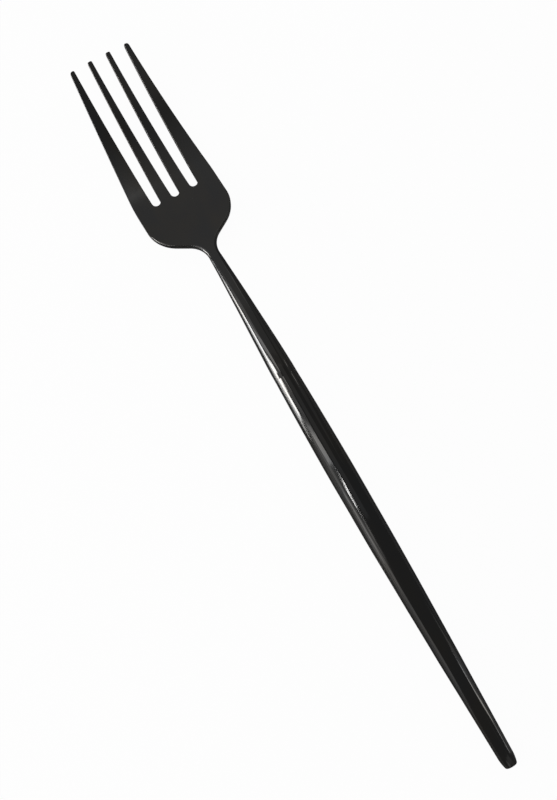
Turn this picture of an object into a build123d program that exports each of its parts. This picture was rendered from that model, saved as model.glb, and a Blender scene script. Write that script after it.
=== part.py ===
"""A black dinner fork: a forged steel head glued by its tang into a slim round steel handle.

The fork lies tines up on a table. +Y runs from the butt to the tips, +X to the side and +Z up,
and the origin is at the bottom centre of the fork's box. Sizes are in millimetres.
"""

from build123d import *
import os
from math import asin, atan2, cos, hypot, radians, sin, tan

# Head seen from above, from the tips back to the waist, where the head meets the neck
TINE_LENGTH = 42.8  # tips to the roots of the gaps
BOWL_LENGTH = 11.3  # roots of the gaps to the corner of the shoulder
SHOULDER_LENGTH = 10.6  # corner of the shoulder to the waist
HEAD_WIDTH = 24.1  # across the bowl
TIP_SPAN = 17.8  # across the four tips
TIP_CROWN = 0.4  # how far the outer tips lie behind the middle of the tips' curve
FLANK_LEAD = 2.5  # how far ahead of the gap roots the sides become parallel
FLANK_RADIUS = 70.0
SHOULDER_SLOPE = 58.0  # degrees between the shoulder's edge and the fork's length
SHOULDER_RADIUS = 9.5
WAIST_RADIUS = 6.0

# The gaps between the tines
GAP_COUNT = 3
GAP_TIP_PITCH = 5.5
GAP_ROOT_PITCH = 5.7
GAP_TIP_WIDTH = 4.2
GAP_ROOT_WIDTH = 2.4

# Head seen from the side: heights are those of the plate's middle above the table
TIP_HEIGHT = 8.6
WAIST_HEIGHT = 8.6
WAIST_SLOPE = 9.0  # degrees
JOINT_HEIGHT = 8.8
REST_DISTANCE = 36.0  # tips to the lowest point of the bowl
TIP_THICKNESS = 1.3
BOWL_THICKNESS = 1.9
WAIST_THICKNESS = 2.3
CROSS_RADIUS = 90.0  # hollow of the head across its width
PLATE_EDGE_RADIUS = 0.15

# Neck, which flares from the flat waist to the round joint with the handle
NECK_LENGTH = 37.0
WAIST_WIDTH = 3.25
JOINT_DIAMETER = 6.4
FLARE_EASE = 0.1  # how much steeper the flare starts than a straight one
FLARE_POWER = 13  # how late the flare flattens before the joint

# Handle, measured along its own axis from the joint
HANDLE_LENGTH = 113.2
SWELL_DISTANCE = 39.0
SWELL_DIAMETER = 7.2
TAPER_DISTANCE = 79.0
TAPER_DIAMETER = 5.96
BUTT_DIAMETER = 4.33  # where the rounded nose begins
BUTT_NOSE = 3.5  # length of the rounded nose
BUTT_END_DIAMETER = 3.1  # where the nose would meet the end without its rounded rim
BUTT_RIM_RADIUS = 0.7

# Tang, the glue around it, and the vent hole behind it with its plug
TANG_DIAMETER = 3.0
TANG_SOCKET_DEPTH = 12.0  # inside the neck
TANG_REACH = 60.0  # inside the handle
TANG_CHAMFER = 0.4
GROOVE_COUNT = 3
GROOVE_LENGTH = 2.0
GROOVE_DEPTH = 0.25
GLUE_THICKNESS = 0.2
GLUE_END = 1.5  # glue behind the end of the tang
VENT_DIAMETER = 0.8
PLUG_DIAMETER = 1.2
PLUG_LENGTH = 4.0
FIT_CLEARANCE = 0.02  # all round the tang in its socket and the plug in its seat

# Lofted shapes, and how far cutting shapes and trimmed blanks reach past their limits
PROFILE_STEPS = 4
NECK_STATIONS = (0.14, 0.3, 0.6, 0.85, 0.95, 1)
ROUND_SHARE = 0.498  # corner radius of a round section, as a share of its height
ROUNDING_HASTE = 0.3  # the lower, the sooner the neck's corners round off behind the waist
TRIM = 2.0
TAIL = 5.0

HEAD_LENGTH = TINE_LENGTH + BOWL_LENGTH + SHOULDER_LENGTH
FLARE = (JOINT_DIAMETER - WAIST_WIDTH) / 2 / NECK_LENGTH * (1 + FLARE_EASE)
BORE_DIAMETER = TANG_DIAMETER + 2 * GLUE_THICKNESS
BORE_DEPTH = TANG_REACH + GLUE_END


def handle_tilt():
    """Angle in radians at which the rounded butt just touches the table."""
    drop = (BUTT_DIAMETER - BUTT_END_DIAMETER) / 2
    radius = (BUTT_NOSE**2 + drop**2) / (2 * drop)
    reach = HANDLE_LENGTH - BUTT_NOSE
    offset = BUTT_DIAMETER / 2 - radius
    return asin((JOINT_HEIGHT - radius) / hypot(reach, offset)) - atan2(offset, reach)


def across(origin, direction):
    """Plane square to a direction that points backward, with its own y pointing up."""
    return Plane(origin=origin, x_dir=(1, 0, 0), z_dir=direction)


def blend(start, end, share):
    """Value a share of the way from start to end."""
    return start + (end - start) * share


# Side profile from the tips back to the joint, with the waist at y = 0
TILT = handle_tilt()
BACKWARD = Vector(0, -1, 0)
WAIST_DIRECTION = Vector(0, -cos(radians(WAIST_SLOPE)), sin(radians(WAIST_SLOPE)))
HANDLE_DIRECTION = Vector(0, -cos(TILT), -sin(TILT))
TIP_POINT = Vector(0, HEAD_LENGTH, TIP_HEIGHT)
REST_POINT = Vector(0, HEAD_LENGTH - REST_DISTANCE, BOWL_THICKNESS / 2)
WAIST_POINT = Vector(0, 0, WAIST_HEIGHT)
JOINT_POINT = Vector(0, -NECK_LENGTH, JOINT_HEIGHT)
TINE_CURVE = TangentArc(REST_POINT, TIP_POINT, tangent=-BACKWARD).edge().reversed()
BOWL_CURVE = Spline(REST_POINT, WAIST_POINT, tangents=[BACKWARD, WAIST_DIRECTION])
NECK_CURVE = Spline(WAIST_POINT, JOINT_POINT, tangents=[WAIST_DIRECTION, HANDLE_DIRECTION])
WAIST_PLANE = across(WAIST_POINT, WAIST_DIRECTION)
HANDLE_PLANE = across(JOINT_POINT, HANDLE_DIRECTION)


def plate_section(origin, direction, thickness):
    """Slice of the hollowed plate, wider than the head."""
    half_width = HEAD_WIDTH / 2 + TRIM
    hollow = CROSS_RADIUS - (CROSS_RADIUS**2 - half_width**2) ** 0.5
    faces = []
    for level in (-thickness / 2, thickness / 2):
        edge = level + hollow
        faces.append(ThreePointArc((-half_width, edge), (0, level), (half_width, edge)))
    bottom, top = faces
    sides = [Line(bottom @ end, top @ end) for end in (0, 1)]
    return across(origin, direction) * make_face([bottom, top, *sides])


def plate_blank():
    """Strip that follows the side profile from past the tips to past the waist."""
    tip_direction = TINE_CURVE % 0
    sections = [plate_section(TIP_POINT - tip_direction * TRIM, tip_direction, TIP_THICKNESS)]
    for step in range(PROFILE_STEPS):
        share = step / PROFILE_STEPS
        thickness = blend(TIP_THICKNESS, BOWL_THICKNESS, share)
        sections.append(plate_section(TINE_CURVE @ share, TINE_CURVE % share, thickness))
    for step in range(PROFILE_STEPS + 1):
        share = step / PROFILE_STEPS
        thickness = blend(BOWL_THICKNESS, WAIST_THICKNESS, share)
        sections.append(plate_section(BOWL_CURVE @ share, BOWL_CURVE % share, thickness))
    end = WAIST_POINT + WAIST_DIRECTION * (TAIL + TRIM)
    sections.append(plate_section(end, WAIST_DIRECTION, WAIST_THICKNESS))
    return loft(sections)


def head_side():
    """Right edge of the head seen from above, from the tips to past the waist."""
    slope = tan(radians(SHOULDER_SLOPE))
    corner_y = (slope * SHOULDER_LENGTH - (HEAD_WIDTH - WAIST_WIDTH) / 2) / (slope + FLARE)
    return FilletPolyline(
        (TIP_SPAN / 2, HEAD_LENGTH - TIP_CROWN),
        (HEAD_WIDTH / 2, HEAD_LENGTH - TINE_LENGTH + FLANK_LEAD),
        (HEAD_WIDTH / 2, SHOULDER_LENGTH),
        (WAIST_WIDTH / 2 - FLARE * corner_y, corner_y),
        (WAIST_WIDTH / 2 + FLARE * TAIL, -TAIL),
        radius=[FLANK_RADIUS, SHOULDER_RADIUS, WAIST_RADIUS],
    )


def tine_gap(index):
    """One tapered gap, open past the tips, with a round root."""
    place = index - (GAP_COUNT - 1) / 2
    stretch = (TINE_LENGTH + TRIM) / TINE_LENGTH
    root_x, tip_x = place * GAP_ROOT_PITCH, place * GAP_TIP_PITCH
    mouth_x = blend(root_x, tip_x, stretch)
    mouth_width = blend(GAP_ROOT_WIDTH, GAP_TIP_WIDTH, stretch)
    mouth_y = HEAD_LENGTH + TRIM
    mouth = Line((mouth_x - mouth_width / 2, mouth_y), (mouth_x + mouth_width / 2, mouth_y))
    root = Pos(root_x, HEAD_LENGTH - TINE_LENGTH + GAP_ROOT_WIDTH / 2) * Circle(GAP_ROOT_WIDTH / 2)
    return make_hull([root.edge(), mouth])


def head_plan():
    """Outline of the head seen from above, with its tines."""
    right = head_side()
    left = mirror(right, Plane.YZ)
    tips = ThreePointArc(left @ 0, (0, HEAD_LENGTH), right @ 0)
    plan = make_face([right, left, tips, Line(left @ 1, right @ 1)])
    for index in range(GAP_COUNT):
        plan -= tine_gap(index)
    return plan


def head_plate():
    """Tines, bowl and shoulders with eased edges, cut off square at the waist."""
    height = TRIM + HEAD_WIDTH + TIP_HEIGHT + WAIST_HEIGHT
    plate = plate_blank() & extrude(Pos(0, 0, -TRIM) * head_plan(), height)
    tail_edges = plate.faces().sort_by(Axis.Y)[0].edges()
    broad_faces = plate.faces().sort_by(SortBy.AREA)[-2:]
    edges = [edge for face in broad_faces for edge in face.edges() if edge not in tail_edges]
    corners = plate.edges().filter_by(Axis.Z)
    tip_corners = corners.filter_by_position(Axis.Y, HEAD_LENGTH - TRIM, HEAD_LENGTH)
    plate = fillet([*edges, *tip_corners], PLATE_EDGE_RADIUS)
    return split(plate, WAIST_PLANE, keep=Keep.BOTTOM)


def neck(waist_face):
    """Neck that turns from the flat waist into a round cone."""
    sections = [waist_face]
    for share in NECK_STATIONS:
        flare = share + FLARE_EASE * (share - share**FLARE_POWER)
        width = blend(WAIST_WIDTH, JOINT_DIAMETER, flare)
        height = blend(WAIST_THICKNESS, JOINT_DIAMETER, flare)
        rounding = blend(PLATE_EDGE_RADIUS, ROUND_SHARE * height, share**ROUNDING_HASTE)
        plane = across(NECK_CURVE @ share, NECK_CURVE % share)
        sections.append(plane * RectangleRounded(width, height, rounding))
    return loft(sections)


def rod(diameter, start, end):
    """Round rod on the handle's axis, between two distances behind the joint."""
    solid = Cylinder(diameter / 2, end - start, align=(Align.CENTER, Align.CENTER, Align.MIN))
    return HANDLE_PLANE * Pos(0, 0, start) * solid


def fork_head():
    """Plate and neck in one piece, with a socket for the tang."""
    plate = head_plate()
    waist_face = plate.faces().sort_by(Axis.Y)[0]
    diameter = TANG_DIAMETER + 2 * FIT_CLEARANCE
    socket = rod(diameter, -TANG_SOCKET_DEPTH - FIT_CLEARANCE, TRIM)
    return plate + neck(waist_face) - socket


def tang_rod():
    """Steel rod with chamfered ends and grooves that key it in the glue."""
    tang = rod(TANG_DIAMETER, -TANG_SOCKET_DEPTH, TANG_REACH)
    ends = tang.edges().filter_by(GeomType.CIRCLE)
    tang = chamfer(ends, TANG_CHAMFER)
    for index in range(GROOVE_COUNT):
        middle = TANG_REACH * (index + 1) / (GROOVE_COUNT + 1)
        start, end = middle - GROOVE_LENGTH / 2, middle + GROOVE_LENGTH / 2
        ring = rod(TANG_DIAMETER + TRIM, start, end)
        tang -= ring - rod(TANG_DIAMETER - 2 * GROOVE_DEPTH, start, end)
    return tang


def tang_adhesive(tang):
    """Glue that fills the bore around the tang and behind its end."""
    return rod(BORE_DIAMETER, 0, BORE_DEPTH) - tang


def handle_body():
    """Round handle that swells behind the joint and tapers to the butt."""
    side = Spline(
        (JOINT_DIAMETER / 2, 0),
        (SWELL_DIAMETER / 2, SWELL_DISTANCE),
        (TAPER_DIAMETER / 2, TAPER_DISTANCE),
        (BUTT_DIAMETER / 2, HANDLE_LENGTH - BUTT_NOSE),
    )
    rim = (BUTT_END_DIAMETER / 2, HANDLE_LENGTH)
    nose = TangentArc(side @ 1, rim, tangent=side % 1)
    inside = Polyline(rim, (0, HANDLE_LENGTH), (0, 0), side @ 0)
    body = revolve(Plane.XZ * make_face([side, nose, inside]), Axis.Z)
    rim_edge = body.edges().filter_by(GeomType.CIRCLE).sort_by(Axis.Z)[-1]
    return HANDLE_PLANE * fillet(rim_edge, BUTT_RIM_RADIUS)


def handle_grip():
    """Handle with its tang bore, vent hole and plug seat."""
    grip = handle_body() - rod(BORE_DIAMETER, -TRIM, BORE_DEPTH)
    grip -= rod(VENT_DIAMETER, 0, HANDLE_LENGTH + TRIM)
    return grip - rod(PLUG_DIAMETER, HANDLE_LENGTH - PLUG_LENGTH, HANDLE_LENGTH + TRIM)


def butt_plug():
    """Plug that closes the vent hole, flush with the butt."""
    diameter = PLUG_DIAMETER - 2 * FIT_CLEARANCE
    return rod(diameter, HANDLE_LENGTH - PLUG_LENGTH, HANDLE_LENGTH)


def fork():
    """All pieces by name, with the origin at the bottom centre of their box."""
    tang = tang_rod()
    pieces = {
        "fork_head": fork_head(),
        "tang_rod": tang,
        "tang_adhesive": tang_adhesive(tang),
        "handle_grip": handle_grip(),
        "butt_plug": butt_plug(),
    }
    box = Compound([solid for piece in pieces.values() for solid in piece.solids()]).bounding_box()
    to_origin = Pos(-box.center().X, -box.center().Y, -box.min.Z)
    return {name: to_origin * piece for name, piece in pieces.items()}


if __name__ == "__main__":
    os.makedirs("parts", exist_ok=True)
    for name, piece in fork().items():
        export_step(piece, f"parts/{name}.step")
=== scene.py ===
"""Looks of a black dinner fork: satin head, polished neck and handle, on a plain pale floor.

Shapes are worked out in millimetres in the frame's own axes: +Y to the tips, +Z up.
"""

from math import asin, atan2, cos, hypot, pi, radians, sin, tan
from typing import NamedTuple

import bpy
import numpy as np
from mathutils import Matrix, Vector, noise


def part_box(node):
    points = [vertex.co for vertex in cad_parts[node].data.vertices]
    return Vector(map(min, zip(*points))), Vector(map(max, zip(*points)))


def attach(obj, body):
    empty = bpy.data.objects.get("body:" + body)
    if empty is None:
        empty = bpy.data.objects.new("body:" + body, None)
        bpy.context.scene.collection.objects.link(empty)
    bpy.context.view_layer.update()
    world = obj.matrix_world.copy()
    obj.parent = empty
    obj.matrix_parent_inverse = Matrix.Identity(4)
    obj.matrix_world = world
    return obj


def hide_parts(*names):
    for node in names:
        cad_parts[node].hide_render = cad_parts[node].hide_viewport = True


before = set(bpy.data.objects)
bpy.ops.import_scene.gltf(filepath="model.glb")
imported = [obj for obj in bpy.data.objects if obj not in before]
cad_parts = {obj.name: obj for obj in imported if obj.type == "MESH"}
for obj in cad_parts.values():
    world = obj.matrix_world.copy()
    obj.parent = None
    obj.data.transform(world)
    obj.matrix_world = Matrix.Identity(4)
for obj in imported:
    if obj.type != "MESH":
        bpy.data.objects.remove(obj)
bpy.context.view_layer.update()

MM = 0.001

# Head seen from above, from the tips back to the waist
TINE_LENGTH = 42.8
BOWL_LENGTH = 11.3
SHOULDER_LENGTH = 10.6
HEAD_LENGTH = TINE_LENGTH + BOWL_LENGTH + SHOULDER_LENGTH
HEAD_WIDTH = 24.1
TIP_SPAN = 17.8
TIP_CROWN = 0.4
FLANK_LEAD = 2.5
FLANK_RADIUS = 70.0
SHOULDER_SLOPE = 58.0
SHOULDER_RADIUS = 9.5
WAIST_RADIUS = 6.0
GAP_COUNT = 3
GAP_TIP_PITCH = 5.5
GAP_ROOT_PITCH = 5.7
GAP_TIP_WIDTH = 4.2
GAP_ROOT_WIDTH = 2.4
TIP_RADIUS = 0.4
OUTER_TIP_RADIUS = 0.8

# Head seen from the side
TIP_HEIGHT = 8.6
WAIST_HEIGHT = 8.6
WAIST_SLOPE = 9.0
JOINT_HEIGHT = 8.8
REST_DISTANCE = 36.0
TIP_THICKNESS = 1.3
BOWL_THICKNESS = 1.9
WAIST_THICKNESS = 2.3
CROSS_RADIUS = 90.0
EDGE_RADIUS = 0.15
SHOULDER_EDGE_RADIUS = 0.9  # polished rounder toward the waist

# Neck and handle
NECK_LENGTH = 37.0
WAIST_WIDTH = 3.25
JOINT_DIAMETER = 6.4
FLARE_EASE = 0.1
FLARE_POWER = 13
HANDLE_LENGTH = 113.2
SWELL_DISTANCE = 39.0
SWELL_DIAMETER = 7.2
TAPER_DISTANCE = 79.0
TAPER_DIAMETER = 5.96
BUTT_DIAMETER = 4.33
BUTT_NOSE = 3.5
BUTT_END_DIAMETER = 3.1
BUTT_RIM_RADIUS = 0.7
BORE_DIAMETER = 3.4
BORE_DEPTH = 61.5
VENT_DIAMETER = 0.8
PLUG_DIAMETER = 1.2
PLUG_LENGTH = 4.0
SOCKET_DIAMETER = 3.04
SOCKET_DEPTH = 12.02
SEAM_EASE = 0.015
ROUND_SHARE = 0.498
ROUNDING_HASTE = 0.15  # the lower, the sooner the neck's corners round off
ROUNDING_EASE = 0.06  # share of the neck over which the rounding sets in
FLARE = (JOINT_DIAMETER - WAIST_WIDTH) / 2 / NECK_LENGTH * (1 + FLARE_EASE)

# Mesh density
PROFILE_SAMPLES = 2000
PROFILE_MARGIN = 1.0  # how far the side profile runs on past the waist and the tips
PLACE_ROUNDS = 4  # rounds of finding the place on the side profile below a point
OUTLINE_STEP = 0.05
FEWEST_ARC_POINTS = 3
TINE_ROWS = 90
TIP_STEPS = 6
TINE_COLUMNS = 6
GAP_COLUMNS = 12
BOWL_ROWS = 70
BOWL_FADE = 1.6  # the higher, the sooner the bowl's rows lose the shape of the gaps' roots
EDGE_STEPS = 6
EDGE_MARGIN = 0.06  # flat strip that keeps the broad faces flat beside their eased edge
CORNER_STEPS = 24
NECK_RINGS = 110
NECK_EVEN_SHARE = 0.4  # share of the neck over which its points spread out evenly
HANDLE_RINGS = 300
NOSE_RINGS = 12
RIM_RINGS = 10
HANDLE_SIDES = 96
WELD_DISTANCE = 2e-4
SHARP_ANGLE = radians(40)

# Marks of polishing by hand on the neck and handle
POLISH_DEPTH = 0.08
POLISH_LENGTH = 11.0
POLISH_TURN = 0.9  # the higher, the more hollows lie around the handle
POLISH_START = 9  # place of the joint in the noise
POLISH_FINENESS = 2.7
POLISH_FINE_SHARE = 0.25
POLISH_NECK_SHARE = 0.25  # share of the neck over which the hollows set in
POLISH_BUTT_LENGTH = 8.0  # length over which they fade toward the butt
GLOSS_SHARE = 0.75  # share of the neck over which the satin turns to gloss
BUTT_GLOSS = 0.1
BUTT_DULL_LENGTH = 6.0  # length over which the gloss fades toward the butt


def lerp(start, end, share):
    return start + (end - start) * share


def smooth(share):
    """A share from 0 to 1 with a soft start and end."""
    share = np.clip(share, 0, 1)
    return share * share * (3 - 2 * share)


def handle_tilt():
    """Angle at which the rounded butt just touches the table."""
    drop = (BUTT_DIAMETER - BUTT_END_DIAMETER) / 2
    radius = (BUTT_NOSE**2 + drop**2) / (2 * drop)
    reach = HANDLE_LENGTH - BUTT_NOSE
    offset = BUTT_DIAMETER / 2 - radius
    return asin((JOINT_HEIGHT - radius) / hypot(reach, offset)) - atan2(offset, reach)


TILT = handle_tilt()

# Place of the joint and the waist in the frame, from the top of the head's end face
JOINT_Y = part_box("fork_head")[0].y / MM + sin(TILT) * JOINT_DIAMETER / 2
WAIST_Y = JOINT_Y + NECK_LENGTH
JOINT_PLACE = (0, JOINT_Y, JOINT_HEIGHT)

# Directions toward the butt in the side view
WAIST_DIRECTION = (-cos(radians(WAIST_SLOPE)), sin(radians(WAIST_SLOPE)))
HANDLE_DIRECTION = (-cos(TILT), -sin(TILT))
HANDLE_AXIS = np.array([0, *HANDLE_DIRECTION])


def upward(direction):
    """Unit vector that points up, square to a direction of the side view."""
    return np.array([0, direction[1], -direction[0]])


def hermite(start, end, start_direction, end_direction, count):
    """Points and directions of a smooth curve in the side view, as (y, z) rows."""
    start, end = np.array(start), np.array(end)
    reach = np.linalg.norm(end - start)
    lead, tail = np.array(start_direction) * reach, np.array(end_direction) * reach
    t = np.linspace(0, 1, count)[:, None]
    points = (
        (2 * t**3 - 3 * t**2 + 1) * start
        + (t**3 - 2 * t**2 + t) * lead
        + (-2 * t**3 + 3 * t**2) * end
        + (t**3 - t**2) * tail
    )
    directions = (
        (6 * t**2 - 6 * t) * start
        + (3 * t**2 - 4 * t + 1) * lead
        + (-6 * t**2 + 6 * t) * end
        + (3 * t**2 - 2 * t) * tail
    )
    return points, directions / np.linalg.norm(directions, axis=1)[:, None]


class SideProfile:
    """Middle line of the plate in the side view: an arc to the tips and a curve to the waist."""

    def __init__(self):
        rest_y, rest_z = HEAD_LENGTH - REST_DISTANCE, BOWL_THICKNESS / 2
        rise = TIP_HEIGHT - rest_z
        radius = (REST_DISTANCE**2 + rise**2) / (2 * rise)
        tine_y = np.linspace(rest_y, HEAD_LENGTH + PROFILE_MARGIN, PROFILE_SAMPLES)
        tine_z = rest_z + radius - np.sqrt(radius**2 - (tine_y - rest_y) ** 2)
        rest, waist = (rest_y, rest_z), (0, WAIST_HEIGHT)
        bowl, _ = hermite(rest, waist, (-1, 0), WAIST_DIRECTION, PROFILE_SAMPLES)
        back_y = np.array([-PROFILE_MARGIN])
        back_z = WAIST_HEIGHT - back_y * tan(radians(WAIST_SLOPE))
        self.y = np.concatenate([back_y, bowl[::-1, 0], tine_y[1:]])
        self.z = np.concatenate([back_z, bowl[::-1, 1], tine_z[1:]])
        self.slope = np.gradient(self.z, self.y)
        self.rest_y = rest_y

    def thickness(self, y):
        stations = (0, self.rest_y, HEAD_LENGTH)
        return np.interp(y, stations, (WAIST_THICKNESS, BOWL_THICKNESS, TIP_THICKNESS))

    def place(self, x, y, level):
        """Heights of points on the hollowed plate, at levels above its middle."""
        lift = level + CROSS_RADIUS - np.sqrt(CROSS_RADIUS**2 - x**2)
        middle_y = y
        for _ in range(PLACE_ROUNDS):
            slope = np.interp(middle_y, self.y, self.slope)
            middle_y = y + lift * slope / np.sqrt(1 + slope**2)
        return np.interp(middle_y, self.y, self.z) + lift / np.sqrt(1 + slope**2)


PROFILE = SideProfile()


def fillet_path(points, radii, step):
    """Dense points along straight runs joined by arcs."""
    points = [np.array(point, float) for point in points]
    path = [points[0]]
    for before, corner, after, radius in zip(points, points[1:], points[2:], radii):
        incoming = (corner - before) / np.linalg.norm(corner - before)
        outgoing = (after - corner) / np.linalg.norm(after - corner)
        turn = atan2(np.cross(incoming, outgoing), np.dot(incoming, outgoing))
        start = corner - incoming * radius * tan(abs(turn) / 2)
        side = np.array([-incoming[1], incoming[0]]) * np.sign(turn)
        center = start + side * radius
        count = max(FEWEST_ARC_POINTS, int(abs(turn) * radius / step))
        for angle in np.linspace(0, turn, count):
            spin = np.array([[cos(angle), -sin(angle)], [sin(angle), cos(angle)]])
            path.append(center - spin @ side * radius)
    path.append(points[-1])
    return np.array(path)


def flank():
    """Half width of the head against distance from the waist."""
    slope = tan(radians(SHOULDER_SLOPE))
    corner_y = (slope * SHOULDER_LENGTH - (HEAD_WIDTH - WAIST_WIDTH) / 2) / (slope + FLARE)
    path = fillet_path(
        [
            (TIP_SPAN / 2, HEAD_LENGTH - TIP_CROWN),
            (HEAD_WIDTH / 2, HEAD_LENGTH - TINE_LENGTH + FLANK_LEAD),
            (HEAD_WIDTH / 2, SHOULDER_LENGTH),
            (WAIST_WIDTH / 2 - FLARE * corner_y, corner_y),
            (WAIST_WIDTH / 2, 0),
        ],
        [FLANK_RADIUS, SHOULDER_RADIUS, WAIST_RADIUS],
        OUTLINE_STEP,
    )
    return path[::-1]


FLANK = flank()
ROOT_Y = HEAD_LENGTH - TINE_LENGTH + GAP_ROOT_WIDTH / 2


def half_width(y):
    return np.interp(y, FLANK[:, 1], FLANK[:, 0])


def gap_side(index, side, y):
    """One side of a gap: side is -1 for its left and 1 for its right."""
    place = index - (GAP_COUNT - 1) / 2
    share = (y - ROOT_Y) / (HEAD_LENGTH - ROOT_Y)
    middle = place * lerp(GAP_ROOT_PITCH, GAP_TIP_PITCH, share)
    return middle + side * lerp(GAP_ROOT_WIDTH, GAP_TIP_WIDTH, share) / 2


def tine_side(index, side, y):
    """Left (-1) or right (1) side of a tine."""
    if index == 0 and side < 0:
        return -half_width(y)
    if index == GAP_COUNT and side > 0:
        return half_width(y)
    return gap_side(index - 1, 1, y) if side < 0 else gap_side(index, -1, y)


def tine_edge(index, side):
    """Points up one side of a tine and round its tip's corner."""
    outer = index == (0 if side < 0 else GAP_COUNT)
    radius = OUTER_TIP_RADIUS if outer else TIP_RADIUS
    corner_x = tine_side(index, side, HEAD_LENGTH) - side * radius
    top = HEAD_LENGTH - TIP_CROWN * (corner_x / (TIP_SPAN / 2)) ** 2 - radius
    y = ROOT_Y + (top - ROOT_Y) * np.linspace(0, 1, TINE_ROWS)
    straight = np.column_stack([tine_side(index, side, y), y])
    angle = np.linspace(0, pi / 2, TIP_STEPS + 1)[1:]
    inward = straight[-1, 0] - side * radius
    corner_x, corner_y = inward + side * radius * np.cos(angle), top + radius * np.sin(angle)
    return np.vstack([straight, np.column_stack([corner_x, corner_y])])


def path_length(points):
    """Length along a path at each of its points."""
    steps = np.linalg.norm(np.diff(points, axis=0), axis=1)
    return np.concatenate([[0], np.cumsum(steps)])


def flank_edge(side):
    """Evenly spaced points from the waist up one flank to where the tines begin."""
    below = FLANK[FLANK[:, 1] <= ROOT_Y]
    below = np.vstack([below, (half_width(ROOT_Y), ROOT_Y)])
    length = path_length(below)
    even = np.linspace(0, length[-1], BOWL_ROWS)
    x, y = np.interp(even, length, below[:, 0]), np.interp(even, length, below[:, 1])
    return np.column_stack([side * x, y])


def gap_root(index):
    """Round root of a gap, from its left side to its right side."""
    angle = np.linspace(pi, 2 * pi, GAP_COLUMNS + 1)
    middle = (index - (GAP_COUNT - 1) / 2) * GAP_ROOT_PITCH
    radius = GAP_ROOT_WIDTH / 2
    return np.column_stack([middle + radius * np.cos(angle), ROOT_Y + radius * np.sin(angle)])


def head_outline():
    """Outline from the left of the waist, round the tines, to the right of the waist."""
    parts = [flank_edge(-1)]
    for index in range(GAP_COUNT + 1):
        left, right = tine_edge(index, -1), tine_edge(index, 1)
        across = np.linspace(left[-1], right[-1], TINE_COLUMNS + 1)[1:-1]
        parts += [left[1:], across, right[::-1]]
        if index < GAP_COUNT:
            parts.append(gap_root(index)[1:])
    parts.append(flank_edge(1)[::-1][1:])
    return np.vstack(parts)


def edge_radius(outline):
    """Radius of the plate's eased edge along the outline."""
    return lerp(SHOULDER_EDGE_RADIUS, EDGE_RADIUS, smooth(outline[:, 1] / ROOT_Y))


def outward(outline):
    """Unit normals of the outline, away from the metal."""
    along = np.gradient(outline, axis=0)
    along /= np.linalg.norm(along, axis=1)[:, None]
    normals = np.column_stack([-along[:, 1], along[:, 0]])
    normals[0], normals[-1] = (-1, 0), (1, 0)
    return normals


class Surface:
    """Vertices and quads gathered patch by patch, welded when the mesh is made."""

    MARKS = ("wear", "gloss")

    def __init__(self):
        self.points = []
        self.quads = []
        self.marks = {name: [] for name in self.MARKS}
        self.count = 0

    def grid(self, rows, flip=False, closed=False, **marks):
        """Adds a patch of rows of points, rings if closed; a mark has one value, or one a row."""
        rows = np.asarray(rows, float)
        height, width = rows.shape[:2]
        index = self.count + np.arange(height * width).reshape(height, width)
        if closed:
            index = np.hstack([index, index[:, :1]])
        corners = [index[:-1, :-1], index[:-1, 1:], index[1:, 1:], index[1:, :-1]]
        quads = np.stack(corners, -1).reshape(-1, 4)
        self.points.append(rows.reshape(-1, 3))
        self.quads.append(quads[:, ::-1] if flip else quads)
        self.count += height * width
        for name in self.MARKS:
            mark = np.asarray(marks.get(name, 0.0), float).reshape(-1, 1)
            self.marks[name].append(np.broadcast_to(mark, (height, width)).reshape(-1))

    def make(self, name):
        """A smooth mesh object, welded, with the patches' marks as attributes."""
        mesh = bpy.data.meshes.new(name)
        points = np.vstack(self.points)
        places = np.round(points / WELD_DISTANCE)
        _, keep, merged = np.unique(places, axis=0, return_index=True, return_inverse=True)
        quads = merged.reshape(-1)[np.vstack(self.quads)]
        faces = []
        for quad in quads:
            corners = list(dict.fromkeys(int(corner) for corner in quad))
            if len(corners) > 2:
                faces.append(corners)
        mesh.from_pydata((points[keep] * MM).tolist(), [], faces)
        mesh.validate()
        mesh.shade_smooth()
        mesh.set_sharp_from_angle(angle=SHARP_ANGLE)
        for mark, values in self.marks.items():
            attribute = mesh.attributes.new(mark, "FLOAT", "POINT")
            attribute.data.foreach_set("value", np.concatenate(values)[keep].astype(np.float32))
        piece = bpy.data.objects.new(name, mesh)
        bpy.context.scene.collection.objects.link(piece)
        return piece


def to_frame(plan, level):
    """Points of the plate from plan points and levels."""
    x, y = plan[..., 0], plan[..., 1]
    return np.stack([x, y + WAIST_Y, PROFILE.place(x, y, level)], -1)


def broad_rows(inset):
    """Plan points of the broad face inside its eased edge: rows for each tine, and for the bowl."""
    tine_points = TINE_ROWS + TIP_STEPS
    share = np.linspace(0, 1, TINE_COLUMNS + 1)[None, :, None]
    tines, top = [], []
    start = BOWL_ROWS - 1
    for index in range(GAP_COUNT + 1):
        tip = start + tine_points
        end = tip + tine_points + TINE_COLUMNS - 2
        left, right = inset[start:tip], inset[end : end - tine_points : -1]
        rows = lerp(left[:, None], right[:, None], share)
        rows[-1, 1:-1] = inset[tip : tip + TINE_COLUMNS - 1]
        tines.append(rows)
        top.append(rows[0] if index == 0 else rows[0][1:])
        if index < GAP_COUNT:
            top.append(inset[end + 1 : end + GAP_COLUMNS + 1])
        start = end + GAP_COLUMNS
    return tines, bowl_rows(inset, np.vstack(top))


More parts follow.
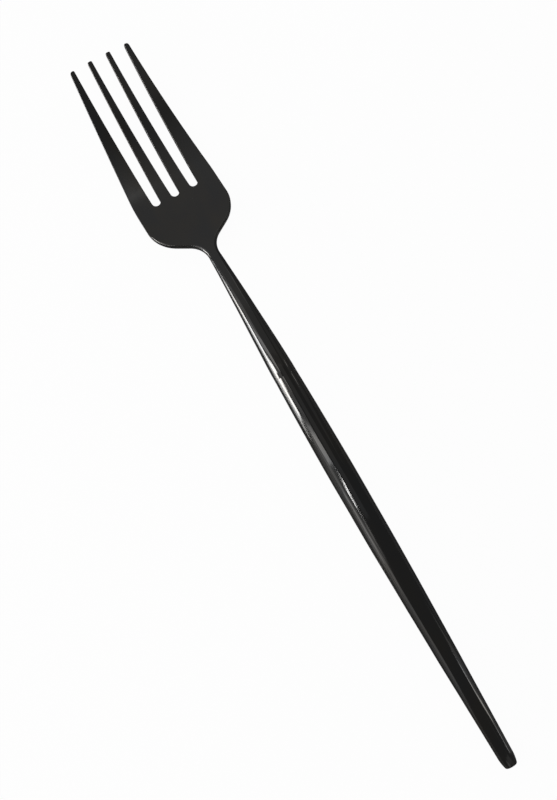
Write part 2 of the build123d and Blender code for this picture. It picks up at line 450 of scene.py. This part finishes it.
def bowl_rows(inset, top):
    """Plan points of the bowl, in rows that take on the shape of the gaps' roots at its top."""
    last = BOWL_ROWS - 1
    left, right = inset[: last + 1], inset[: -last - 2 : -1]
    even = np.linspace(0, 1, len(top))
    uneven = (top[:, 0] - top[0, 0]) / (top[-1, 0] - top[0, 0])
    dip = top[:, 1] - top[0, 1]
    rows = []
    for row in range(last):
        fade = smooth((last - row) / last * BOWL_FADE)
        across = lerp(uneven, even, fade)[:, None]
        points = lerp(left[row], right[row], across)
        points[:, 1] += dip * (1 - fade)
        rows.append(points)
    return np.array([*rows, top])


def rounded_section(width, height, rounding, share):
    """Points round a rounded rectangle at shares of its length, from the left of its top edge."""
    flat_x, flat_z = width / 2 - rounding, height / 2 - rounding
    path = [(-flat_x, height / 2)]
    for index, (right, up) in enumerate(((1, 1), (1, -1), (-1, -1), (-1, 1))):
        for angle in np.linspace(0, pi / 2, CORNER_STEPS):
            turn = pi / 2 - index * pi / 2 - angle
            path.append((right * flat_x + rounding * cos(turn), up * flat_z + rounding * sin(turn)))
    path = np.array(path)
    length = path_length(path)
    wanted = share * length[-1]
    return np.column_stack([np.interp(wanted, length, path[:, axis]) for axis in (0, 1)])


def wave(place):
    """Smooth noise from 0 to 1."""
    return 0.5 + 0.5 * noise.noise(place)


def polish(distance, angle):
    """Depth of the small uneven hollows left by hand polishing, at a distance behind the joint."""
    across, up = POLISH_TURN * cos(angle), POLISH_TURN * sin(angle)
    place = Vector((across, up, distance / POLISH_LENGTH + POLISH_START))
    return POLISH_DEPTH * (wave(place) + POLISH_FINE_SHARE * wave(place * POLISH_FINENESS))


def head_shape():
    """Head and neck as one closed skin."""
    surface = Surface()
    outline = head_outline()
    normals = outward(outline)
    inset = outline - normals * (edge_radius(outline) + EDGE_MARGIN)[:, None]
    tines, bowl = broad_rows(inset)
    for patch in [*tines, bowl]:
        half = PROFILE.thickness(patch[..., 1]) / 2
        surface.grid(to_frame(patch, half))
        surface.grid(to_frame(patch, -half), flip=True)
    rows, wear = edge_rows(outline, normals, inset)
    surface.grid(rows, wear=wear)
    half = PROFILE.thickness(bowl[0][:, 1]) / 2
    # Round the waist: top face, right edge, bottom face, left edge
    ring = np.vstack([
        to_frame(bowl[0], half)[:-1],
        rows[:-1, -1],
        to_frame(bowl[0], -half)[::-1][:-1],
        rows[::-1, 0][:-1],
    ])
    add_neck(surface, ring)
    return surface


def edge_rows(outline, normals, inset):
    """Rows of points round the plate's eased edge, from its top face to its bottom face."""
    half = PROFILE.thickness(inset[:, 1]) / 2
    radius = edge_radius(outline)
    angles = np.linspace(0, pi / 2, EDGE_STEPS + 1)
    rows, wear = [to_frame(inset, half)], [0.0]
    for side, order in ((1, angles), (-1, angles[::-1])):
        for angle in order:
            plan = outline - normals * radius[:, None] * (1 - sin(angle))
            rows.append(to_frame(plan, side * (half - radius * (1 - cos(angle)))))
            wear.append(sin(2 * angle))
    rows.append(to_frame(inset, -half))
    wear.append(0.0)
    return np.array(rows), wear


def add_neck(surface, ring):
    """Neck from the waist's ring of points to the round joint, with the tang's socket in its end."""
    waist_share = path_length(np.vstack([ring, ring[:1]]))
    waist_share = waist_share[:-1] / waist_share[-1]
    even_share = np.arange(len(ring)) / len(ring)
    waist, joint = (0, WAIST_HEIGHT), (-NECK_LENGTH, JOINT_HEIGHT)
    points, directions = hermite(waist, joint, WAIST_DIRECTION, HANDLE_DIRECTION, NECK_RINGS)
    rings, gloss = [ring], [0.0]
    for step in range(1, NECK_RINGS):
        share = step / (NECK_RINGS - 1)
        around = lerp(waist_share, even_share, smooth(share / NECK_EVEN_SHARE))
        rings.append(neck_ring(neck_section(share, around), points[step], directions[step], share))
        gloss.append(smooth(share / GLOSS_SHARE))
    rings += socket_rings(rings[-1])
    gloss += [1.0] * (len(rings) - len(gloss))
    surface.grid(np.array(rings), flip=True, closed=True, gloss=gloss)


def neck_section(share, around):
    """Section of the neck at a share of its length, a plate's at the waist and round at the joint."""
    flare = share + FLARE_EASE * (share - share**FLARE_POWER)
    width = lerp(WAIST_WIDTH, JOINT_DIAMETER, flare)
    height = lerp(WAIST_THICKNESS, JOINT_DIAMETER, flare)
    rounded = share**ROUNDING_HASTE * smooth(share / ROUNDING_EASE)
    rounding = lerp(SHOULDER_EDGE_RADIUS, ROUND_SHARE * height, rounded)
    return rounded_section(width, height, rounding, around)


def neck_ring(section, point, direction, share):
    """A section set square to the neck's line, with the marks of polishing."""
    worn = smooth(share / POLISH_NECK_SHARE)
    up = upward(direction)
    ring = []
    for x, z in section:
        depth = worn * polish((share - 1) * NECK_LENGTH, atan2(z, x))
        shrink = 1 - depth / hypot(x, z)
        across = np.array([x * shrink, point[0] + WAIST_Y, point[1]])
        ring.append(across + up * z * shrink)
    return np.array(ring)


def socket_rings(end):
    """Rings that follow the neck's last one: its eased end, and the socket down to its bottom."""
    middle = np.array(JOINT_PLACE)
    spokes = end - middle
    reach = np.linalg.norm(spokes, axis=1)[:, None]
    rim = spokes / reach * SOCKET_DIAMETER / 2
    bottom = middle - HANDLE_AXIS * SOCKET_DEPTH
    return [middle + spokes * (1 - SEAM_EASE / reach), middle + rim, bottom + rim, bottom + 0 * rim]


def handle_side():
    """Radius of the handle against distance from the joint: one cubic through its four sizes."""
    stations = (0, SWELL_DISTANCE, TAPER_DISTANCE, HANDLE_LENGTH - BUTT_NOSE)
    radii = np.array([JOINT_DIAMETER, SWELL_DIAMETER, TAPER_DIAMETER, BUTT_DIAMETER]) / 2
    return np.polynomial.Polynomial.fit(stations, radii, 3)


def arc(along, out, radius, start, end, count):
    """Points of an arc in the handle's side view after its first, by angles from straight out."""
    angles = np.linspace(start, end, count)[1:]
    return [(along + radius * sin(angle), out + radius * cos(angle)) for angle in angles]


def butt_nose(lean):
    """Points of the rounded nose after the handle's side, which leans inward, and of its rim."""
    drop = (BUTT_DIAMETER - BUTT_END_DIAMETER) / 2
    radius = (BUTT_NOSE**2 + drop**2) / (2 * (drop * cos(lean) - BUTT_NOSE * sin(lean)))
    along = HANDLE_LENGTH - BUTT_NOSE - radius * sin(lean)
    out = BUTT_DIAMETER / 2 - radius * cos(lean)
    rim_along = HANDLE_LENGTH - BUTT_RIM_RADIUS
    rim_turn = asin((rim_along - along) / (radius - BUTT_RIM_RADIUS))
    rim_out = out + (radius - BUTT_RIM_RADIUS) * cos(rim_turn)
    nose = arc(along, out, radius, lean, rim_turn, NOSE_RINGS)
    return nose + arc(rim_along, rim_out, BUTT_RIM_RADIUS, rim_turn, pi / 2, RIM_RINGS)


def handle_profile():
    """Outside and inside of the handle's section, as distances behind the joint and radii."""
    side = handle_side()
    distance = np.linspace(SEAM_EASE, HANDLE_LENGTH - BUTT_NOSE, HANDLE_RINGS)
    lean = atan2(-side.deriv()(distance[-1]), 1)
    outside = [*zip(distance, side(distance)), *butt_nose(lean)]
    inside = [
        (HANDLE_LENGTH, PLUG_DIAMETER / 2),
        (HANDLE_LENGTH - PLUG_LENGTH, PLUG_DIAMETER / 2),
        (HANDLE_LENGTH - PLUG_LENGTH, VENT_DIAMETER / 2),
        (BORE_DEPTH, VENT_DIAMETER / 2),
        (BORE_DEPTH, BORE_DIAMETER / 2),
        (0, BORE_DIAMETER / 2),
        (0, JOINT_DIAMETER / 2 - SEAM_EASE),
    ]
    return outside, inside


def handle_ring(along, radius, worn):
    """Points round the handle at a distance behind the joint, hollowed by a share of the polishing."""
    center = np.array(JOINT_PLACE) + HANDLE_AXIS * along
    up = upward(HANDLE_DIRECTION)
    ring = []
    for angle in np.linspace(0, 2 * pi, HANDLE_SIDES, endpoint=False):
        reach = radius - worn * polish(along, angle)
        across = np.array([reach * cos(angle), 0, 0])
        ring.append(center + across + up * reach * sin(angle))
    return ring


def handle_shape():
    """Handle of revolution with its bore, vent and plug seat."""
    outside, inside = handle_profile()
    rings = []
    for along, radius in outside:
        worn = smooth((HANDLE_LENGTH - along) / POLISH_BUTT_LENGTH)
        rings.append(handle_ring(along, radius, worn))
    rings += [handle_ring(along, radius, 0.0) for along, radius in inside]
    rings.append(rings[0])
    distances = np.array([along for along, _ in [*outside, *inside, outside[0]]])
    dull = smooth(1 - (HANDLE_LENGTH - distances) / BUTT_DULL_LENGTH)
    surface = Surface()
    surface.grid(np.array(rings), closed=True, gloss=lerp(1.0, BUTT_GLOSS, dull))
    return surface


class Finish:
    """A material in the making, with short ways to add and link its nodes."""

    def __init__(self, name):
        self.material = bpy.data.materials.new(name)
        self.material.use_nodes = True
        self.nodes = self.material.node_tree.nodes
        self.link = self.material.node_tree.links.new
        self.shader = self.nodes["Principled BSDF"]

    def set(self, **values):
        """Sets inputs of the shader to one value all over."""
        for name, value in values.items():
            self.shader.inputs[name.replace("_", " ")].default_value = value

    def feed(self, name, value):
        """Links a value that varies to an input of the shader."""
        self.link(value, self.shader.inputs[name])

    def add(self, kind, **values):
        """A new node with its settings and inputs."""
        node = self.nodes.new(kind)
        for key, value in values.items():
            if hasattr(node, key):
                setattr(node, key, value)
            else:
                node.inputs[key.replace("_", " ")].default_value = value
        return node

    def mark(self, name):
        """A mark of the mesh, such as its wear."""
        return self.add("ShaderNodeAttribute", attribute_name=name).outputs["Fac"]

    def grain(self, across, along, turn=0.0, detail=2.0):
        """Noise drawn out along the fork, with grain sizes in millimetres."""
        fine, long = 1 / (across * MM), 1 / (along * MM)
        place = self.add("ShaderNodeTexCoord")
        turned = self.add("ShaderNodeMapping", Rotation=(0, 0, turn))
        stretched = self.add("ShaderNodeMapping", Scale=(fine, long, fine))
        pattern = self.add("ShaderNodeTexNoise", Scale=1, Detail=detail)
        self.link(place.outputs["Object"], turned.inputs["Vector"])
        self.link(turned.outputs["Vector"], stretched.inputs["Vector"])
        self.link(stretched.outputs["Vector"], pattern.inputs["Vector"])
        return pattern.outputs["Fac"]

    def spread(self, value, source, target=(0, 1)):
        """A value brought from one range into another."""
        node = self.add("ShaderNodeMapRange")
        limits = zip(("From Min", "From Max", "To Min", "To Max"), (*source, *target))
        for name, limit in limits:
            node.inputs[name].default_value = limit
        self.link(value, node.inputs["Value"])
        return node.outputs["Result"]

    def combine(self, operation, first, second):
        """Two values multiplied, subtracted or compared."""
        node = self.add("ShaderNodeMath", operation=operation)
        self.link(first, node.inputs[0])
        self.link(second, node.inputs[1])
        return node.outputs["Value"]

    def mix(self, share, first, second):
        """A colour between two colours, the first of which may come from another node."""
        node = self.add("ShaderNodeMix", data_type="RGBA")
        self.link(share, node.inputs["Factor"])
        if isinstance(first, tuple):
            node.inputs["A"].default_value = first
        else:
            self.link(first, node.inputs["A"])
        node.inputs["B"].default_value = second
        return node.outputs["Result"]

    def emboss(self, height, depth):
        """Fine relief, with its depth in millimetres."""
        bump = self.add("ShaderNodeBump", Strength=1.0, Distance=depth * MM)
        self.link(height, bump.inputs["Height"])
        self.feed("Normal", bump.outputs["Normal"])


# Black coat: colours, roughness without and with gloss, relief in millimetres
COAT_WARM = (0.0475, 0.0455, 0.0425, 1)
COAT_COOL = (0.0430, 0.0435, 0.0440, 1)
COAT_WORN = (0.065, 0.062, 0.059, 1)
COAT_EDGE_TINT = (0.45, 0.45, 0.45, 1)
SATIN = 0.22
POLISHED = 0.065
PLUG_SATIN = 0.13
COAT_RELIEF = 0.00006
RUBBED_SHARE = (0, 0.7)
CLOUDY_FACTOR = (0.86, 1.18)  # of the roughness, across the clouds
SCRATCH_FACTOR = (1.0, 1.35)  # of the roughness, up to the scratches

# Bare steel and glue of the pieces inside
STEEL_CLEAN = (0.56, 0.56, 0.55, 1)
STEEL_STAINED = (0.43, 0.42, 0.40, 1)
STEEL_ROUGHNESS = (0.26, 0.42)
STEEL_RELIEF = 0.004
GLUE_PALE = (0.38, 0.33, 0.22, 1)
GLUE_DARK = (0.30, 0.26, 0.18, 1)
GLUE_ROUGHNESS = (0.32, 0.48)
GLUE_RELIEF = 0.05

# Ranges of the noise that show as these marks
FULL = (0, 1)
BROAD = (0.3, 0.7)
TINTS = (0.35, 0.65)
PATCHES = (0.45, 0.7)
SCRATCHES = (0.71, 0.77)
STAINS = (0.4, 0.75)
BUBBLES = (0.66, 0.72)


def black_coat(name, satin):
    """Black coat on steel: polish lines, fine scratches, cloudy gloss and edges rubbed lighter."""
    coat = Finish(name)
    coat.set(Metallic=1, Specular_Tint=COAT_EDGE_TINT)
    clouds = coat.grain(across=6, along=17, detail=3)
    lines = coat.grain(across=0.17, along=12)
    leaning = coat.grain(across=0.22, along=8, turn=radians(37))
    crossing = coat.grain(across=0.26, along=11, turn=radians(-24))
    leaning, crossing = coat.spread(leaning, SCRATCHES), coat.spread(crossing, SCRATCHES)
    scratches = coat.combine("MAXIMUM", leaning, crossing)
    patches = coat.spread(coat.grain(across=1.2, along=4), PATCHES, RUBBED_SHARE)
    rubbed = coat.combine("MULTIPLY", coat.mark("wear"), patches)
    colour = coat.mix(coat.spread(clouds, TINTS), COAT_WARM, COAT_COOL)
    coat.feed("Base Color", coat.mix(rubbed, colour, COAT_WORN))
    roughness = coat.spread(coat.mark("gloss"), FULL, (satin, POLISHED))
    cloudy = coat.spread(clouds, BROAD, CLOUDY_FACTOR)
    scratched = coat.spread(scratches, FULL, SCRATCH_FACTOR)
    uneven = coat.combine("MULTIPLY", cloudy, scratched)
    coat.feed("Roughness", coat.combine("MULTIPLY", roughness, uneven))
    coat.emboss(coat.combine("SUBTRACT", lines, scratches), COAT_RELIEF)
    return coat.material


def turned_steel():
    """Bare steel with the fine rings of turning."""
    steel = Finish("turned_steel")
    steel.set(Metallic=1)
    rings = steel.grain(across=6, along=0.12)
    stains = steel.spread(steel.grain(across=2, along=5, detail=4), STAINS)
    steel.feed("Base Color", steel.mix(stains, STEEL_CLEAN, STEEL_STAINED))
    steel.feed("Roughness", steel.spread(rings, BROAD, STEEL_ROUGHNESS))
    steel.emboss(rings, STEEL_RELIEF)
    return steel.material


def amber_glue():
    """Cured glue, cloudy with fine bubbles."""
    glue = Finish("amber_epoxy")
    clouds = glue.grain(across=1.5, along=3, detail=4)
    bubbles = glue.spread(glue.grain(across=0.3, along=0.3), BUBBLES)
    glue.feed("Base Color", glue.mix(clouds, GLUE_PALE, GLUE_DARK))
    glue.feed("Roughness", glue.spread(clouds, BROAD, GLUE_ROUGHNESS))
    glue.emboss(bubbles, GLUE_RELIEF)
    return glue.material


def dress(piece, material):
    """Gives a piece one material all over."""
    piece.data.materials.clear()
    piece.data.materials.append(material)


def build_fork():
    """Head and handle over their solids, and finishes on the pieces inside."""
    head = head_shape().make("head")
    handle = handle_shape().make("handle")
    dress(head, black_coat("satin_black_coat", SATIN))
    dress(handle, black_coat("polished_black_coat", SATIN))
    pieces = ((head, "fork_head", "head_coat"), (handle, "handle_grip", "handle_coat"))
    for piece, node, slot in pieces:
        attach(piece, "root")
        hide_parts(node)
    dress(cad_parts["butt_plug"], black_coat("plug_black_coat", PLUG_SATIN))
    dress(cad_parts["tang_rod"], turned_steel())
    dress(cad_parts["tang_adhesive"], amber_glue())


# Photograph's viewing angle
CAMERA_AIM = Vector((-3.875, 2.792, 0.0)) * MM
CAMERA_DISTANCE = 380 * MM
CAMERA_TILT = radians(10)
CAMERA_LEAN = radians(5.75)
CAMERA_ROLL = radians(30.345)
CAMERA_LENS = 64.92
CAMERA_SENSOR = 36.0


def add_camera():
    """Camera that looks down on the fork, tilted toward the butt, leaning left and rolled."""
    data = bpy.data.cameras.new("camera")
    data.lens = CAMERA_LENS
    data.sensor_width = CAMERA_SENSOR
    data.sensor_height = CAMERA_SENSOR
    data.sensor_fit = "AUTO"
    back = Vector((
        -sin(CAMERA_LEAN),
        -sin(CAMERA_TILT) * cos(CAMERA_LEAN),
        cos(CAMERA_TILT) * cos(CAMERA_LEAN),
    ))
    side = Vector((0, 1, 0)).cross(back).normalized()
    up = back.cross(side)
    right = side * cos(CAMERA_ROLL) - up * sin(CAMERA_ROLL)
    image_up = side * sin(CAMERA_ROLL) + up * cos(CAMERA_ROLL)
    turned = Matrix((right, image_up, back)).transposed().to_4x4()
    camera = bpy.data.objects.new("camera", data)
    bpy.context.scene.collection.objects.link(camera)
    camera.matrix_world = Matrix.Translation(CAMERA_AIM + back * CAMERA_DISTANCE) @ turned
    bpy.context.scene.camera = camera


# Floor in metres, and the share of white that it shows to each kind of ray
FLOOR_RADIUS = 4.0
FLOOR_RIM_RADIUS = 1.0
FLOOR_RIM_STEPS = 13
FLOOR_SIDES = 96
FLOOR_COLOUR = (0.7, 0.7, 0.7, 1)
FLOOR_ROUGHNESS = 0.12
FLOOR_SPECULAR = 1.0
FLOOR_WHITE = {"Is Camera Ray": 0.97, "Is Transmission Ray": 0.97, "Is Glossy Ray": 0.1}


def floor_shape():
    """Round floor whose rim turns up in an arc."""
    bend = np.linspace(0, pi / 2, FLOOR_RIM_STEPS)
    reach = [0.0, *(FLOOR_RADIUS + FLOOR_RIM_RADIUS * np.sin(bend))]
    height = [0.0, *(FLOOR_RIM_RADIUS * (1 - np.cos(bend)))]
    angles = np.linspace(0, 2 * pi, FLOOR_SIDES, endpoint=False)
    rings = [[(r * cos(a), r * sin(a), z) for a in angles] for r, z in zip(reach, height)]
    surface = Surface()
    surface.grid(np.array(rings) / MM, closed=True)
    return surface


def add_floor():
    """Pale floor that shows white, and keeps a light shadow."""
    floor = floor_shape().make("floor")
    paint = Finish("pale_floor")
    paint.set(Base_Color=FLOOR_COLOUR, Roughness=FLOOR_ROUGHNESS, Specular_IOR_Level=FLOOR_SPECULAR)
    glow = paint.add("ShaderNodeEmission", Strength=1.0)
    path = paint.add("ShaderNodeLightPath")
    white = None
    for ray, share in FLOOR_WHITE.items():
        part = paint.spread(path.outputs[ray], FULL, (0, share))
        white = part if white is None else paint.combine("MAXIMUM", white, part)
    mix = paint.add("ShaderNodeMixShader")
    paint.link(white, mix.inputs[0])
    paint.link(paint.shader.outputs[0], mix.inputs[1])
    paint.link(glow.outputs[0], mix.inputs[2])
    paint.link(mix.outputs[0], paint.nodes["Material Output"].inputs["Surface"])
    dress(floor, paint.material)


class Softbox(NamedTuple):
    """A rectangular lamp of even brightness, in a direction from a place on the fork.

    Angles are in degrees, toward the tips and above the floor; lengths are in millimetres.
    """

    name: str
    place: tuple
    side: int
    toward_tips: float
    elevation: float
    distance: float
    size: tuple
    radiance: float


LEFT, RIGHT, AHEAD = -1, 1, 0

# Places on the fork from which the lamps are set out
SWELL_PLACE = (0, JOINT_Y - 30, 8)
BUTT_PLACE = (0, JOINT_Y - 95, 4)
BOWL_PLACE = (0, WAIST_Y + BOWL_LENGTH, 5)
TINE_PLACE = (0, WAIST_Y + 45, 7)

WORLD_STRENGTH = 0.25
SOFTBOXES = [
    Softbox("left_window_near", JOINT_PLACE, LEFT, 7.1, 10, 630, (34, 215), 24),
    Softbox("left_window", JOINT_PLACE, LEFT, 10.2, 15, 630, (34, 330), 24),
    Softbox("left_window_mid", JOINT_PLACE, LEFT, 15, 9, 640, (72, 190), 22),
    Softbox("left_window_far", JOINT_PLACE, LEFT, 22.5, 8, 650, (100, 165), 23),
    Softbox("left_high_panel", JOINT_PLACE, LEFT, 38, 48, 700, (230, 330), 0.9),
    Softbox("left_low_haze", JOINT_PLACE, LEFT, 31, 37, 700, (150, 110), 1.0),
    Softbox("left_mid_haze", JOINT_PLACE, LEFT, 18.5, 45, 700, (85, 400), 2.7),
    Softbox("left_near_haze", JOINT_PLACE, LEFT, 9, 42, 700, (60, 360), 0.8),
    Softbox("left_panel", SWELL_PLACE, LEFT, 5, 40, 700, (44, 420), 3.4),
    Softbox("left_lamp", SWELL_PLACE, LEFT, -2, 52, 700, (8, 220), 40),
    Softbox("left_streak", SWELL_PLACE, LEFT, -5.8, 41, 700, (26, 220), 0.9),
    Softbox("left_low_panel", SWELL_PLACE, LEFT, -1.7, 8.5, 760, (75, 200), 1.45),
    Softbox("left_fill", SWELL_PLACE, LEFT, -4, 13, 800, (300, 330), 0.85),
    Softbox("left_high_fill", SWELL_PLACE, LEFT, 0, 24, 800, (190, 620), 0.45),
    Softbox("left_rear_panel", BOWL_PLACE, LEFT, -62, 30, 900, (300, 400), 0.65),
    Softbox("right_rear_panel", BOWL_PLACE, RIGHT, -60, 30, 900, (420, 420), 0.1),
    Softbox("rear_high_panel", TINE_PLACE, RIGHT, -80, 57, 2700, (2100, 855), 0.25),
    Softbox("right_lamp", BUTT_PLACE, RIGHT, -12.8, 25, 700, (42, 200), 4.2),
    Softbox("right_fill", BUTT_PLACE, RIGHT, -10.5, 14, 760, (112, 330), 0.5),
    Softbox("right_panel", JOINT_PLACE, RIGHT, 22, 33, 700, (390, 480), 0.13),
    Softbox("right_small_lamp", JOINT_PLACE, RIGHT, 10, 36, 700, (30, 60), 2),
    Softbox("right_high_panel", BOWL_PLACE, RIGHT, 54, 57.5, 800, (150, 150), 0.8),
    Softbox("top_panel", JOINT_PLACE, LEFT, 0, 83.8, 414, (130, 230), 0.2),
]

# Panels beyond the tips that overlap, from one foot up to different tops, in degrees above the floor
FRONT_DISTANCE = 2700
FRONT_WIDTH = 2700
FRONT_RADIANCE = 0.115
FRONT_FOOT = 20
FRONT_TOPS = (70, 80, 83)


def front_panel(top):
    """A wide pale panel beyond the tips, seen up to an elevation in degrees."""
    middle, half = (top + FRONT_FOOT) / 2, (top - FRONT_FOOT) / 2
    size = (FRONT_WIDTH, 2 * FRONT_DISTANCE * tan(radians(half)))
    name = f"front_panel_{top}"
    return Softbox(name, BOWL_PLACE, AHEAD, 90, middle, FRONT_DISTANCE, size, FRONT_RADIANCE)


def add_softbox(box):
    """An area lamp that faces its place on the fork."""
    turn, height = radians(box.toward_tips), radians(box.elevation)
    away = Vector((box.side * cos(height) * cos(turn), cos(height) * sin(turn), sin(height)))
    width, length = box.size[0] * MM, box.size[1] * MM
    data = bpy.data.lights.new(box.name, "AREA")
    data.shape = "RECTANGLE"
    data.size, data.size_y = width, length
    data.energy = box.radiance * pi * width * length
    lamp = bpy.data.objects.new(box.name, data)
    bpy.context.scene.collection.objects.link(lamp)
    lamp.location = (Vector(box.place) + away * box.distance) * MM
    lamp.rotation_euler = (-away).to_track_quat("-Z", "Y").to_euler()


def add_light():
    """Even room light, and the windows, lamps and panels that the coat reflects."""
    world = bpy.data.worlds.new("studio")
    bpy.context.scene.world = world
    world.use_nodes = True
    room = world.node_tree.nodes["Background"]
    room.inputs["Color"].default_value = (1, 1, 1, 1)
    room.inputs["Strength"].default_value = WORLD_STRENGTH
    for box in [*SOFTBOXES, *map(front_panel, FRONT_TOPS)]:
        add_softbox(box)


bpy.context.scene.view_settings.view_transform = "Standard"
build_fork()
add_camera()
add_floor()
add_light()
